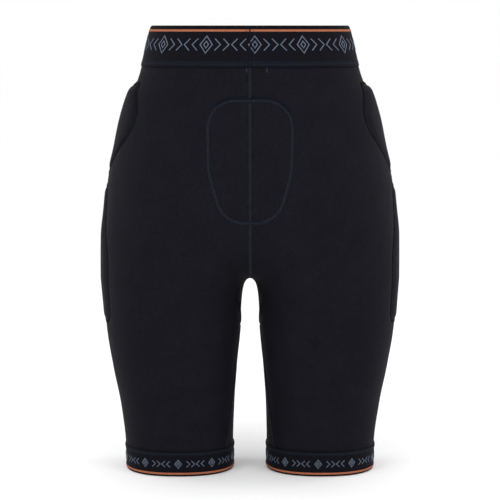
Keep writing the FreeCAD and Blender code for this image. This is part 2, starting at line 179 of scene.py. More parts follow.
SEAM = 5.0              # width of a flatlock seam
TAIL = rounded_outline([(-52.5, 481.3), (52.5, 481.3), (51, 395), (33, 332.5), (-33, 332.5), (-51, 395)],
                       [33, 33, 107, 36, 36, 107])
HIP = rounded_outline([(-74, 450), (-36, 502), (51, 499), (55, 389), (-24, 389)], [34, 22, 16, 16, 22])
THIGH = rounded_outline([(-31, 371), (67, 371), (63, 195), (-45, 195), (-57, 280)], [24, 18, 18, 20, 90])


def smoothstep(low, high, value):
    t = np.clip((value - low) / (high - low), 0, 1)
    return t * t * (3 - 2 * t)


# ---- materials
def srgb(*values):
    return tuple(((c / 255 + 0.055) / 1.055)**2.4 if c > 10 else c / 255 / 12.92 for c in values) + (1.0,)


WAVES_PER_TURN = 20     # a wave texture of scale 1 repeats 20 times in 2 pi


class Shade:
    """A small builder for procedural materials."""

    def __init__(self, name, **sockets):
        self.material = bpy.data.materials.new(name)
        self.material.use_nodes = True
        self.tree = self.material.node_tree
        self.shader = self.tree.nodes["Principled BSDF"]
        for key, value in sockets.items():
            self.shader.inputs[key.replace("_", " ")].default_value = value

    def node(self, kind, values=(), **settings):
        node = self.tree.nodes.new(kind)
        for key, value in settings.items():
            setattr(node, key, value)
        for socket, value in dict(values).items():
            if isinstance(value, bpy.types.NodeSocket):
                self.tree.links.new(value, node.inputs[socket])
            else:
                node.inputs[socket].default_value = value
        return node

    def place(self):
        return self.node("ShaderNodeTexCoord").outputs["Object"]

    def wave(self, vector, scale, direction):
        return self.node("ShaderNodeTexWave", {"Vector": vector, "Scale": scale},
                         bands_direction=direction).outputs["Fac"]

    def threads(self, pitch, direction, scale):
        """Stripes of the weave, one to each pitch in metres."""
        uv = self.node("ShaderNodeUVMap", uv_map="cloth").outputs[0]
        vector = self.node("ShaderNodeMapping", {"Vector": uv, "Scale": scale}).outputs[0]
        return self.wave(vector, 1 / pitch / WAVES_PER_TURN * math.pi * 2, direction)

    def noise(self, scale, detail=2.0):
        return self.node("ShaderNodeTexNoise", {"Vector": self.place(), "Scale": scale,
                                                "Detail": detail}).outputs["Fac"]

    def maths(self, operation, one, two):
        return self.node("ShaderNodeMath", {0: one, 1: two}, operation=operation).outputs[0]

    def weighed(self, *pairs):
        """The sum of (value, weight) pairs."""
        total = None
        for value, weight in pairs:
            part = self.maths("MULTIPLY", value, weight)
            total = part if total is None else self.maths("ADD", total, part)
        return total

    def mix(self, factor, one, two):
        return self.node("ShaderNodeMix", {0: factor, 6: one, 7: two}, data_type="RGBA").outputs[2]

    def span(self, value, low, high):
        return self.node("ShaderNodeMapRange", {0: value, 3: low, 4: high}).outputs[0]

    def bump(self, height, strength, distance, before=None):
        node = self.node("ShaderNodeBump", {"Height": height, "Strength": strength, "Distance": distance})
        if before is not None:
            self.tree.links.new(before, node.inputs["Normal"])
        return node.outputs[0]

    def finish(self, *results):
        for socket, value in zip(("Base Color", "Roughness", "Normal"), results):
            self.tree.links.new(value, self.shader.inputs[socket])
        return self.material


def warp_knit(name, dark, light, sheen):
    """Smooth stretch warp knit: fine wales, short slanted laps and soft mottling."""
    shade = Shade(name, Sheen_Weight=sheen, Sheen_Roughness=0.45, Sheen_Tint=(0.78, 0.80, 1.0, 1.0),
                  Specular_IOR_Level=0.035)
    weave = shade.maths("MULTIPLY", shade.threads(0.0011, "X", (1, 0, 0)),
                        shade.threads(0.0009, "Y", (0.5, 1, 1)))
    mottle = shade.noise(38.0, 3.0)
    fleck = shade.span(shade.noise(520.0), -0.45, 1.45)
    tone = shade.weighed((mottle, 0.35), (weave, 0.25), (fleck, 0.42))
    normal = shade.bump(shade.noise(22.0), 0.12, 0.004, shade.bump(weave, 0.35, 0.0003))
    return shade.finish(shade.mix(tone, dark, light), shade.span(mottle, 0.62, 0.80), normal)


def rib_elastic(name, dark, light, sheen):
    """Woven elastic: close upright ribs crossed by a fine pick."""
    shade = Shade(name, Sheen_Weight=sheen, Sheen_Roughness=0.4, Sheen_Tint=(0.80, 0.82, 1.0, 1.0),
                  Specular_IOR_Level=0.035)
    weave = shade.weighed((shade.threads(0.0016, "X", (1, 0, 0)), 0.7),
                          (shade.threads(0.0010, "Y", (0, 1, 0)), 0.3))
    mottle = shade.noise(60.0, 3.0)
    colour = shade.mix(shade.weighed((weave, 0.6), (mottle, 0.4)), dark, light)
    return shade.finish(colour, shade.span(mottle, 0.60, 0.78), shade.bump(weave, 0.5, 0.0004))


def yarn(name, dark, light, pitch):
    """Thread or inlaid yarn: twisted plies along the piece."""
    shade = Shade(name, Sheen_Weight=0.02, Sheen_Roughness=0.35, Specular_IOR_Level=0.06)
    twist = shade.threads(pitch, "DIAGONAL", (1, 0.6, 1))
    mottle = shade.noise(160.0)
    return shade.finish(shade.mix(shade.weighed((twist, 0.6), (mottle, 0.4)), dark, light),
                        shade.span(mottle, 0.5, 0.7), shade.bump(twist, 0.5, 0.0003))


def mesh_knit(name):
    """Pocket lining: a fine open mesh, drawn as dark eyelets in a dull ground."""
    shade = Shade(name, Sheen_Weight=0.2, Sheen_Roughness=0.5, Specular_IOR_Level=0.25)
    cells = shade.node("ShaderNodeTexVoronoi", {"Vector": shade.place(), "Scale": 520.0, "Randomness": 0.25})
    holes = shade.node("ShaderNodeMapRange", {0: cells.outputs["Distance"], 1: 0.18, 2: 0.42}).outputs[0]
    return shade.finish(shade.mix(holes, srgb(9, 9, 12), srgb(46, 46, 54)),
                        shade.span(shade.noise(90.0), 0.7, 0.85), shade.bump(holes, 0.6, 0.0004))


def foam(name):
    """Moulded protector foam: matt skin with a fine pebble."""
    shade = Shade(name, Specular_IOR_Level=0.35)
    pebble = shade.noise(420.0)
    return shade.finish(shade.mix(shade.noise(24.0, 3.0), srgb(44, 46, 52), srgb(62, 64, 70)),
                        shade.span(pebble, 0.55, 0.75), shade.bump(pebble, 0.25, 0.0003))


def rubber(name):
    shade = Shade(name, Specular_IOR_Level=0.45)
    cloud = shade.noise(55.0)
    return shade.finish(shade.mix(cloud, srgb(26, 26, 29), srgb(40, 40, 44)),
                        shade.span(cloud, 0.35, 0.5), shade.bump(cloud, 0.1, 0.0005))


def satin(name):
    shade = Shade(name, Sheen_Weight=0.2, Specular_IOR_Level=0.4)
    rib = shade.wave(shade.place(), 900.0, "Z")
    return shade.finish(shade.mix(rib, srgb(214, 213, 208), srgb(228, 227, 222)),
                        shade.span(rib, 0.38, 0.5), shade.bump(rib, 0.3, 0.0002))



KNIT = warp_knit("shell_knit", srgb(6, 5, 9), srgb(29, 28, 35), 0.012)
KNIT_GUSSET = warp_knit("gusset_knit", srgb(6, 5, 9), srgb(27, 26, 32), 0.012)
BAND = rib_elastic("band_elastic", srgb(7, 7, 11), srgb(19, 19, 26), 0.012)
BAND_EDGE = rib_elastic("band_selvedge", srgb(10, 10, 12), srgb(19, 18, 22), 0.01)
BINDING = rib_elastic("coverstitch_strip", srgb(11, 12, 17), srgb(25, 27, 36), 0.012)
MOTIF = yarn("motif_yarn", srgb(60, 67, 81), srgb(106, 115, 133), 0.0009)
COPPER = yarn("copper_yarn", srgb(124, 68, 47), srgb(178, 110, 80), 0.0012)
MOUTH = rib_elastic("pocket_mouth_strip", srgb(6, 8, 14), srgb(17, 20, 32), 0.01)
THREAD = yarn("flatlock_thread", srgb(24, 26, 34), srgb(49, 53, 66), 0.0008)
TAPE = rib_elastic("flatlock_ground", srgb(13, 14, 20), srgb(24, 26, 35), 0.012)
# Darker copies of the seam tape and thread: their extra darkness is painted shadow, laid on the seams round
# the hip and thigh pads and round the gusset.
THREAD_PAINTED_SHADOW = yarn("seam_thread_painted_shadow", srgb(11, 12, 17), srgb(26, 28, 37), 0.0008)
TAPE_PAINTED_SHADOW = rib_elastic("seam_tape_painted_shadow", srgb(7, 8, 12), srgb(16, 18, 25), 0.01)
LINER = mesh_knit("pocket_mesh")
FOAM = foam("pad_foam")
SILICONE = rubber("gripper_silicone")
LABEL = satin("label_satin")


# ---- mesh helpers
def new_object(name, bm, material, smooth=True, closed=False):
    if closed:
        bmesh.ops.recalc_face_normals(bm, faces=bm.faces)
    mesh = bpy.data.meshes.new(name)
    bm.to_mesh(mesh)
    bm.free()
    mesh.materials.append(material)
    for polygon in mesh.polygons:
        polygon.use_smooth = smooth
    item = bpy.data.objects.new(name, mesh)
    bpy.context.scene.collection.objects.link(item)
    return item


def cloth_mesh():
    bm = bmesh.new()
    return bm, bm.loops.layers.uv.new("cloth")


def add_face(bm, layer, verts, uvs):
    for corner, uv in zip(bm.faces.new(verts).loops, uvs):
        corner[layer].uv = uv


def in_metres(profile):
    return [(across * MM, proud * MM) for across, proud in profile]


def thicken(item, thickness_mm, offset=-1.0):
    modifier = item.modifiers.new("thickness", "SOLIDIFY")
    modifier.thickness = thickness_mm * MM
    modifier.offset = offset
    modifier.use_even_offset = False
    mesh = bpy.data.meshes.new_from_object(item.evaluated_get(bpy.context.evaluated_depsgraph_get()))
    item.modifiers.clear()
    item.data = mesh


def belongs(item, slot, *nodes, body="root"):
    """Gives a piece its body and hides the CAD nodes that it stands for; slot is not used."""
    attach(item, body)
    if nodes:
        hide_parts(*nodes)
    return item


def ribbon(name, paths, material):
    """Closed strips swept along paths of (stations, profile, loop): a station is (point, side,
    out, along) and a profile is (across, proud) pairs, all in metres."""
    bm, layer = cloth_mesh()
    for stations, profile, loop in paths:
        rows = [[bm.verts.new(point + side * a + out * p) for a, p in profile]
                for point, side, out, _ in stations]
        count = len(rows)
        for index in range(count if loop else count - 1):
            one, two = rows[index], rows[(index + 1) % count]
            here = stations[index][3]
            there = stations[index + 1][3] if index + 1 < count else here + 0.002
            for k in range(len(profile)):
                m = (k + 1) % len(profile)
                u, v = profile[k][0], profile[m][0]
                add_face(bm, layer, (one[k], one[m], two[m], two[k]),
                         ((here, u), (here, v), (there, v), (there, u)))
        if not loop:
            bm.faces.new(rows[0][::-1])
            bm.faces.new(rows[-1])
    return new_object(name, bm, material, closed=True)



# ---- the shell
AROUND = 168
LEVEL_STEP = 3.5


def build_skin():
    """Both halves of the fabric shell as one fine surface, in metres."""
    bm, layer = cloth_mesh()
    count = int(round((PANEL_HIGH - PANEL_LOW) / LEVEL_STEP))
    levels = [PANEL_LOW + (PANEL_HIGH - PANEL_LOW) * k / count for k in range(count + 1)]
    rows = []
    for level in levels:
        points = [form_point(2 * math.pi * k / AROUND, level, 0.0) for k in range(AROUND)]
        rows.append([bm.verts.new(point * MM) for point in points])
    for low in range(count):
        for k in range(AROUND):
            m = (k + 1) % AROUND
            bm.faces.new((rows[low][k], rows[low][m], rows[low + 1][m], rows[low + 1][k]))
    everything = bm.verts[:] + bm.edges[:] + bm.faces[:]
    bmesh.ops.bisect_plane(bm, geom=everything, plane_co=(0, 0, 0), plane_no=(1, 0, 0), clear_outer=True)
    for face in bm.faces:
        for corner in face.loops:
            spot = corner.vert.co
            turn = math.atan2(spot.y - FORWARD * MM, spot.x + 0.095)
            if turn < 0 and face.calc_center_median().y > FORWARD * MM and spot.x < -0.095:
                turn += 2 * math.pi
            corner[layer].uv = (turn * 0.105, spot.z)
    bmesh.ops.mirror(bm, geom=bm.verts[:] + bm.edges[:] + bm.faces[:], axis="X", merge_dist=2e-5)
    bmesh.ops.remove_doubles(bm, verts=bm.verts[:], dist=2e-5)
    bmesh.ops.recalc_face_normals(bm, faces=bm.faces)
    return bm


def relax(bm, weight_of, rounds):
    """Laplacian smoothing, only where weight_of(co) is above zero."""
    chosen = [(vert, weight_of(vert.co)) for vert in bm.verts if not vert.is_boundary]
    chosen = [(vert, weight) for vert, weight in chosen if weight > 0]
    for _ in range(rounds):
        moved = []
        for vert, weight in chosen:
            near = [edge.other_vert(vert).co for edge in vert.link_edges]
            mean = sum(near, Vector()) / len(near)
            moved.append(vert.co.lerp(mean, 0.5 * weight))
        for (vert, _), spot in zip(chosen, moved):
            vert.co = spot


def crotch_weight(co):
    across = max(0.0, 1 - abs(co.x) / 0.046)
    height = max(0.0, 1 - abs(co.z - 0.266) / 0.066)
    return min(1.0, 2.2 * across * height)


def swell(bm):
    """Pads stand the fabric off, seams pull it in, and it lies in slight drags."""
    bm.normal_update()
    co = np.array([v.co[:] for v in bm.verts]) / MM
    normal = np.array([v.normal[:] for v in bm.verts])
    y = co[:, 1] - FORWARD
    back_face = smoothstep(0.25, 0.6, -normal[:, 1])
    side_face = smoothstep(0.1, 0.5, np.abs(normal[:, 0])) * (np.abs(co[:, 0]) > 90)
    tail = inside_distance(TAIL, co[:, 0], co[:, 2])
    hip = inside_distance(HIP, y, co[:, 2])
    thigh = inside_distance(THIGH, y, co[:, 2])
    push = np.zeros(len(co))
    for distance, face, height, soft in ((tail, back_face, 1.5, 11), (hip, side_face, 1.8, 10),
                                         (thigh, side_face, 1.9, 10)):
        push += face * height * smoothstep(-1.0, soft, distance)
        push -= face * 0.7 * np.exp(-(distance / 3.2)**2)
    push -= 0.9 * np.exp(-(co[:, 0] / 3.4)**2) * (np.abs(normal[:, 1]) > 0.3)
    for vert, amount, spot in zip(bm.verts, push, co):
        drag = noise.noise(Vector((spot[0] * 0.020, spot[1] * 0.020, spot[2] * 0.009)))
        fine = noise.noise(Vector((spot[0] * 0.055, spot[1] * 0.055, spot[2] * 0.03 + 9)))
        vert.co += vert.normal * ((amount + 0.75 * drag + 0.22 * fine) * MM)


skin_mesh = build_skin()
relax(skin_mesh, crotch_weight, 60)
CROTCH_LIFT = 0.0068     # smoothing lowers the arch between the legs; this puts it back
for vert in skin_mesh.verts:
    vert.co.z += CROTCH_LIFT * crotch_weight(vert.co)
swell(skin_mesh)
skin_mesh.normal_update()
SKIN = BVHTree.FromBMesh(skin_mesh)


def cast(origin, direction):
    hit, normal, _, _ = SKIN.ray_cast(origin, direction)
    if hit is None:
        return None
    return hit, (normal if normal.dot(direction) < 0 else -normal)


def cast_all(rays):
    """The (point, normal) pairs where rays of (origin, direction), in metres, meet the shell."""
    hits = [cast(Vector(origin), Vector(direction)) for origin, direction in rays]
    return [hit for hit in hits if hit]


GUSSET_HALF = 50.0
GUSSET_LOW = CROTCH - 62    # where its lowest corners lie, inside the legs
GUSSET_RISE = 38.0          # how far its front and back corners stand above those



def region(centre):
    """Which panel a face belongs to, from its centre in metres."""
    y = centre.y / MM - FORWARD
    z = centre.z / MM
    inner = abs(centre.x / MM) < 60
    in_gusset = abs(y) < GUSSET_HALF and GUSSET_LOW + GUSSET_RISE * abs(y) / GUSSET_HALF < z < CROTCH + 24
    if inner and in_gusset:
        return "crotch_gusset"
    side = "left" if centre.x < 0 else "right"
    return ("back_panel_" if y < 0 else "front_panel_") + side


def cut_panels():
    """Cuts the skin along the seams between panels and makes one piece of each."""
    cuts = [((0, FORWARD * MM, 0), (0, 1, 0)),
            ((0, (FORWARD - GUSSET_HALF) * MM, 0), (0, 1, 0)),
            ((0, (FORWARD + GUSSET_HALF) * MM, 0), (0, 1, 0)),
            ((0, FORWARD * MM, GUSSET_LOW * MM), (0, -GUSSET_RISE, GUSSET_HALF)),
            ((0, FORWARD * MM, GUSSET_LOW * MM), (0, GUSSET_RISE, GUSSET_HALF))]
    for index, (spot, normal) in enumerate(cuts):
        near = skin_mesh.faces[:]
        if index:
            centres = [face.calc_center_median() for face in near]
            near = [face for face, spot in zip(near, centres)
                    if abs(spot.x) < 0.062 and 0.18 < spot.z < 0.285]
        geometry = set(near)
        for face in near:
            geometry.update(face.verts)
            geometry.update(face.edges)
        bmesh.ops.bisect_plane(skin_mesh, geom=list(geometry), plane_co=spot, plane_no=normal)
    mesh = bpy.data.meshes.new("skin")
    skin_mesh.to_mesh(mesh)
    panels = {}
    for name in ("back_panel_left", "back_panel_right", "front_panel_left", "front_panel_right",
                 "crotch_gusset"):
        bm = bmesh.new()
        bm.from_mesh(mesh)
        other = [face for face in bm.faces if region(face.calc_center_median()) != name]
        bmesh.ops.delete(bm, geom=other, context="FACES")
        area = sum(face.calc_area() for face in bm.faces)
        item = new_object(name + "_cloth", bm, KNIT_GUSSET if name == "crotch_gusset" else KNIT)
        thicken(item, 1.2)
        belongs(item, "shell_knit", name)
        panels[name] = (item, area)
    return panels


panels = cut_panels()


# ---- flatlock seams
def surface_path(spots, loop):
    """Turns (point, normal) pairs on the skin into ribbon stations."""
    stations = []
    travelled = 0.0
    for index, (point, normal) in enumerate(spots):
        before, after = beside(spots, index, loop)
        forward = (after[0] - before[0]).normalized()
        side = normal.cross(forward).normalized()
        out = forward.cross(side).normalized()
        if out.dot(normal) < 0:
            side, out = -side, -out
        if index:
            travelled += (point - spots[index - 1][0]).length
        stations.append((point, side, out, travelled))
    return stations

def smooth_normals(spots, loop):
    for _ in range(3):
        fresh = []
        for index, (point, normal) in enumerate(spots):
            one, two = beside(spots, index, loop)
            fresh.append((point, (one[1] + normal * 2 + two[1]).normalized()))
        spots = fresh
    return spots


def between(lengths, target):
    """The step of a route that holds a distance along it, and the share of the step passed."""
    low = min(len(lengths) - 2, max(0, bisect_left(lengths, target) - 1))
    return low, (target - lengths[low]) / max(1e-9, lengths[low + 1] - lengths[low])


def evened(spots, spacing, loop):
    """The same route with even spacing, in metres."""
    route = spots + ([spots[0]] if loop else [])
    lengths = [0.0]
    for one, two in zip(route, route[1:]):
        lengths.append(lengths[-1] + (two[0] - one[0]).length)
    count = max(2, int(lengths[-1] / spacing))
    result = []
    for index in range(count if loop else count + 1):
        low, t = between(lengths, lengths[-1] * index / count)
        one, two = route[low], route[low + 1]
        result.append((one[0].lerp(two[0], t), one[1].lerp(two[1], t).normalized()))
    return result


STITCH = 2.6            # pitch of the flatlock stitches
STITCH_STEPS = 4        # points in each stitch
THREAD_PROUD = 0.00052


def zigzag(stations, half_width, phase):
    """A thread's line to and fro across a seam: small tube centres."""
    total = stations[-1][3]
    count = int(total / (STITCH * MM)) * STITCH_STEPS
    lengths = [station[3] for station in stations]
    line = []
    for index in range(count + 1):
        target = total * index / count
        low, t = between(lengths, target)
        point, side, out = [one.lerp(two, t) for one, two in zip(stations[low][:3], stations[low + 1][:3])]
        side.normalize()
        out.normalize()
        sweep = 1 - 4 * abs(((index + phase) % STITCH_STEPS) / STITCH_STEPS - 0.5)
        lift = THREAD_PROUD + 0.00012 * math.cos(math.pi * sweep / 2)
        line.append((point + side * (half_width * sweep) + out * lift, side, out, target))
    return line


def thread_path(line, radius):
    """The path of a round thread, of a radius in mm, that follows a bent line."""
    stations = []
    for index, (point, _, out, along) in enumerate(line):
        before, after = beside(line, index)
        forward = (after[0] - before[0]).normalized()
        side = out.cross(forward).normalized()
        stations.append((point, side, forward.cross(side).normalized(), along))
    corners = [math.pi / 2 * k for k in range(4)]
    return stations, in_metres([(radius * math.cos(a), radius * math.sin(a)) for a in corners]), False


SEAM_PROFILE = [(-2.5, -0.25), (-2.3, 0.30), (-1.5, 0.46), (-0.35, 0.50), (0, 0.40), (0.35, 0.50),
                (1.5, 0.46), (2.3, 0.30), (2.5, -0.25)]


def flatlock(name, routes, width=SEAM, dark=False, in_cad=True):
    """A flat seam: a low ribbed tape with two threads laced across it; with dark set, the tape and threads
    are darker copies whose extra darkness is painted shadow.
    """
    profile = in_metres([(a * width / SEAM, p) for a, p in SEAM_PROFILE])
    tapes = []
    threads = []
    for spots, loop in routes:
        stations = surface_path(smooth_normals(evened(spots, 0.0022, loop), loop), loop)
        tapes.append((stations, profile, loop))
        laced = stations
        if loop:
            first = stations[0]
            closing = stations[-1][3] + (first[0] - stations[-1][0]).length
            laced = stations + [(*first[:3], closing)]
        threads += [thread_path(zigzag(laced, width / 2 * 0.86 * MM, phase), 0.26) for phase in (0, 2)]
    belongs(ribbon(name + "_tape", tapes, TAPE_PAINTED_SHADOW if dark else TAPE), "seam_thread",
            *([name] if in_cad else []))
    belongs(ribbon(name + "_stitches", threads, THREAD_PAINTED_SHADOW if dark else THREAD), "seam_thread")


def project_x(outline, sign):
    """An outline seen from the side, cast onto one side of the shell."""
    return cast_all([((sign * 0.4, (spot.x + FORWARD) * MM, spot.y * MM), (-sign, 0, 0)) for spot in outline])


def project_back(outline):
    return cast_all([((spot.x * MM, -0.4, spot.y * MM), (0, 1, 0)) for spot in outline])


def upright(from_z, to_z, sign=-1):
    """A line up the middle of the back (sign -1) or the front (sign 1)."""
    count = int(abs(to_z - from_z) / 2.5)
    levels = [from_z + (to_z - from_z) * index / count for index in range(count + 1)]
    return cast_all([((0, sign * 0.4, level * MM), (0, -sign, 0)) for level in levels]), False


def inside_leg(sign, places):
    """A line on the inside of a leg through (y, height) places, in mm from the form's middle."""
    return cast_all([((sign * 0.0005, (y + FORWARD) * MM, level * MM), (sign, 0, 0))
                     for y, level in places]), False


# The hip seams carry a dark band that is partly seam tape and partly painted shadow of the ridge the pad
# pushes up; the left band is wider because it holds more painted shadow.
HIP_SEAM_AND_PAINTED_SHADOW_WIDTH = {"left": 10.0, "right": 5.0}
tail_bottom = min(p.y for p in TAIL)
tail_top = max(p.y for p in TAIL)
flatlock("centre_back_seam", [upright(CROTCH + 7, tail_bottom - 2.6),
                              upright(tail_bottom + 2.6, tail_top - 3.2),
                              upright(tail_top + 3.2, PANEL_HIGH - 1)], width=5.2)
flatlock("centre_front_seam", [upright(CROTCH + 26, PANEL_HIGH - 1, 1)], width=5.2)
flatlock("coccyx_pocket_seam", [(project_back(TAIL), True)])
# The hip and thigh pocket seams use the darker tape and thread: painted shadow along the pad ridges.
for side, sign in (("left", -1), ("right", 1)):
    flatlock("hip_pocket_seam_" + side, [(project_x(HIP, sign), True)], HIP_SEAM_AND_PAINTED_SHADOW_WIDTH[side], True)
    flatlock("thigh_pocket_seam_" + side, [(project_x(THIGH, sign), True)], 4.4, True)

# Each inseam drifts a little to the back on its way down to the hem.
INSEAM_TOP = CROTCH - 64
inseam = [(-14 - 26 * (k / 59)**1.3, INSEAM_TOP + (PANEL_LOW + 1 - INSEAM_TOP) * k / 59) for k in range(60)]
for side, sign in (("left", -1), ("right", 1)):
    flatlock("inseam_" + side, [inside_leg(sign, inseam)])

# The gusset's seam runs round its diamond as two lines over the crotch.
gusset = [(t * GUSSET_HALF, GUSSET_LOW + GUSSET_RISE * abs(t)) for t in [k / 60 * 2 - 1 for k in range(61)]]
# The gusset seam also uses the darker tape and thread: painted shade between the legs.
flatlock("gusset_seam", [inside_leg(-1, gusset), inside_leg(1, gusset)], 3.4, True, False)

# The mouth of the tailbone pocket is bound with a narrow strip that follows
# the top of its seam and turns down both shoulders.
MOUTH_OFFSET = 3.6
MOUTH_END_LEFT = 474.0
MOUTH_END_RIGHT = 466.0
MOUTH_CENTRE = 440.0
MOUTH_PROFILE = [(-2.3, -0.2), (-2.1, 0.25), (-1.2, 0.55), (1.2, 0.55), (2.1, 0.25), (2.3, -0.2)]


def mouth_binding():
    """The part of the tailbone outline that is bound, moved outward."""
    offset = []
    for index, spot in enumerate(TAIL):
        before, after = beside(TAIL, index, True)
        run = (after - before).normalized()
        if spot.y > (MOUTH_END_RIGHT if spot.x > 0 else MOUTH_END_LEFT):
            offset.append(spot + Vector((-run.y, run.x)) * MOUTH_OFFSET)
    offset.sort(key=lambda point: math.atan2(point.x, point.y - MOUTH_CENTRE))
    return offset


mouth_spots = smooth_normals(evened(project_back(mouth_binding()), 0.002, False), False)
belongs(ribbon("coccyx_mouth_strip", [(surface_path(mouth_spots, False), in_metres(MOUTH_PROFILE), False)],
               MOUTH), "seam_thread", "coccyx_mouth_binding")


# ---- knitted bands
class Loop:
    """Arc length round a band, so that patterns can be laid on it in mm."""

    def __init__(self, height, whole, sign=1):
        self.whole, self.sign = whole, sign
        self.angles = [2 * math.pi * k / 720 - math.pi / 2 for k in range(721)]
        spots = [form_point(a, height, 0.0, whole) for a in self.angles]
        self.lengths = [0.0]
        for one, two in zip(spots, spots[1:]):
            self.lengths.append(self.lengths[-1] + (two - one).length)
        self.total = self.lengths[-1]

    def angle(self, along):
        """Angle at a distance from the middle of the back, in mm."""
        return float(np.interp(along % self.total, self.lengths, self.angles))

    def point(self, along, height, outset):
        spot = form_point(self.angle(along), height, outset, self.whole)
        return Vector((spot.x * self.sign, spot.y, spot.z)) * MM


def band_mesh(name, loop, profile, material, slot, *nodes, count=240):
    """A ring whose closed profile is (height, outset) in mm."""
    bm, layer = cloth_mesh()
    stops = [loop.total * k / count for k in range(count)]
    rows = [[bm.verts.new(loop.point(stop, h, o)) for h, o in profile] for stop in stops]
    for index in range(count):
        one, two = rows[index], rows[(index + 1) % count]
        here, there = stops[index] * MM, (stops[index] + loop.total / count) * MM
        for k in range(len(profile)):
            m = (k + 1) % len(profile)
            u, v = profile[k][0] * MM, profile[m][0] * MM
            add_face(bm, layer, (one[k], two[k], two[m], one[m]),
                     ((here, u), (there, u), (there, v), (here, v)))
    return belongs(new_object(name, bm, material, closed=True), slot, *nodes)


def stripe(name, loop, low, high, proud, material, slot, *nodes):
    profile = [(low, proud - 0.3), (low + 0.15, proud), (high - 0.15, proud), (high, proud - 0.3)]
    band_mesh(name, loop, profile, material, slot, *nodes)


def laid_strokes(name, loop, strokes, proud):
    """Flat yarn strokes woven into a band: each is a polyline of (along,
    height) with a width, all in mm."""
    bm, layer = cloth_mesh()
    for points, width, closed in strokes:
        count = len(points)
        rows = []
        travelled = 0.0
        for index in range(count):
            here = Vector(points[index])
            before, after = map(Vector, beside(points, index, closed))
            first = (here - before if before != here else after - here).normalized()
            second = (after - here).normalized() if after != here else first
            bend = (first + second).normalized()
            across = Vector((-bend.y, bend.x))
            mitre = width / 2 / max(0.45, across.dot(Vector((-first.y, first.x))))
            travelled += (here - before).length if index else 0.0
            edges = [here + across * mitre, here - across * mitre]
            row = [bm.verts.new(loop.point(e.x, e.y, proud)) for e in edges]
            row += [bm.verts.new(loop.point(e.x, e.y, proud - 0.25)) for e in edges[::-1]]
            rows.append((row, travelled * MM))
        for index in range(count if closed else count - 1):
            row, one = rows[index]
            following, two = rows[(index + 1) % count]
            if index + 1 == count:
                two = one + 0.001
            for k in range(4):
                m = (k + 1) % 4
                add_face(bm, layer, (row[k], row[m], following[m], following[k]),
                         ((one, k * 0.001), (one, m * 0.001), (two, m * 0.001), (two, k * 0.001)))
        if not closed:
            bm.faces.new(rows[0][0])
            bm.faces.new(rows[-1][0][::-1])
    belongs(new_object(name, bm, MOTIF, False, True), "band_jacquard")


def rhombus(along, height, half_wide, half_tall):
    return [(along - half_wide, height), (along, height + half_tall), (along + half_wide, height),
            (along, height - half_tall)]


CHEVRONS = 4


def motif_row(total, middle, mark, run, stroke, repeat, start):
    """A generic repeat: a nested rhombus, then a run of chevrons.  mark and
    run are (width, height)."""
    strokes = []
    count = int(round(total / repeat))
    pitch = total / count
    for index in range(count):
        at = start + index * pitch
        for share in (0.5, 0.2):
            strokes.append((rhombus(at, middle, mark[0] * share, mark[1] * share), stroke, True))
        for step in range(CHEVRONS):
            x = at + pitch / 2 + run[0] * ((step + 0.5) / CHEVRONS - 0.5)
            point = run[0] * 0.085 * (1 if step < CHEVRONS / 2 else -1)
            strokes.append(([(x - point, middle + run[1] / 2), (x + point, middle),
                             (x - point, middle - run[1] / 2)], stroke, False))
    return strokes


def running_stitches(name, lines, length=2.4, gap=0.9, radius=0.24):
    """Rows of single stitches: each a short thread that dips in at both ends."""
    paths = []
    for stations in lines:
        total = stations[-1][3]
        lengths = [station[3] for station in stations]
        count = int(total / ((length + gap) * MM))
        for index in range(count):
            line = []
            for k in range(5):
                target = total * index / count + length * MM * k / 4
                low, t = between(lengths, target)
                point = stations[low][0].lerp(stations[low + 1][0], t)
                side, out = stations[low][1], stations[low][2]
                lift = 0.00035 * math.sin(math.pi * k / 4) - 0.0001
                line.append((point + out * lift, side, out, target))
            paths.append(thread_path(line, radius))
    belongs(ribbon(name, paths, THREAD), "seam_thread")


def on_band(loop, places, outset):
    """Stations on a band through (along, height) places, in mm."""
    spots = []
    for along, height in places:
        point = loop.point(along, height, outset)
        spots.append((point, (loop.point(along, height, outset + 1) - point).normalized()))
    return surface_path(spots, False)


def band_line(loop, height, outset, start=0.0, stop=None, step=2.5):
    stop = loop.total if stop is None else stop
    count = int((stop - start) / step)
    return on_band(loop, [(start + (stop - start) * k / count, height) for k in range(count + 1)], outset)


def join_line(along, high, outset):
    """An upright line on the waistband."""
    low = PANEL_HIGH + 1
    return on_band(WAIST, [(along, low + (high - low) * k / 24) for k in range(25)], outset)


WAIST = Loop(548, True)
waist_profile = ([(PANEL_HIGH - 1.0, -0.4), (PANEL_HIGH - 0.6, 0.7)]
                 + [(PANEL_HIGH + 0.6 + k * 5.4, 0.95 + 0.18 * math.sin(k)) for k in range(10)]
                 + [(WAIST_TOP - 1.4, 1.0), (WAIST_TOP - 0.4, 0.55), (WAIST_TOP, -0.3),
                    (WAIST_TOP - 0.4, -1.2), (WAIST_TOP - 1.6, -1.6)]
                 + [(WAIST_TOP - 6 - k * 9.0, -1.6) for k in range(5)] + [(PANEL_HIGH - 0.8, -1.6)])
band_mesh("waistband_cloth", WAIST, waist_profile, BAND, "band_jacquard", "waistband", count=288)
stripe("waistband_stripe_yarn", WAIST, 566.4, 569.2, 1.45, COPPER, "copper_yarn", "waistband_stripe")
stripe("waistband_selvedge", WAIST, 570.5, 572.7, 1.25, BAND_EDGE, "band_jacquard")
stripe("waistband_coverstitch", WAIST, PANEL_HIGH + 0.4, PANEL_HIGH + 6.2, 1.35, BINDING, "band_jacquard")
laid_strokes("waistband_motif", WAIST,
             motif_row(WAIST.total, 550.5, (15.5, 21), (42, 14.5), 1.2, 59.5, 6.0), 1.42)
running_stitches("waistband_stitching", [band_line(WAIST, PANEL_HIGH + 3.4, 1.4),
                                         band_line(WAIST, PANEL_HIGH + 6.4, 1.25)])

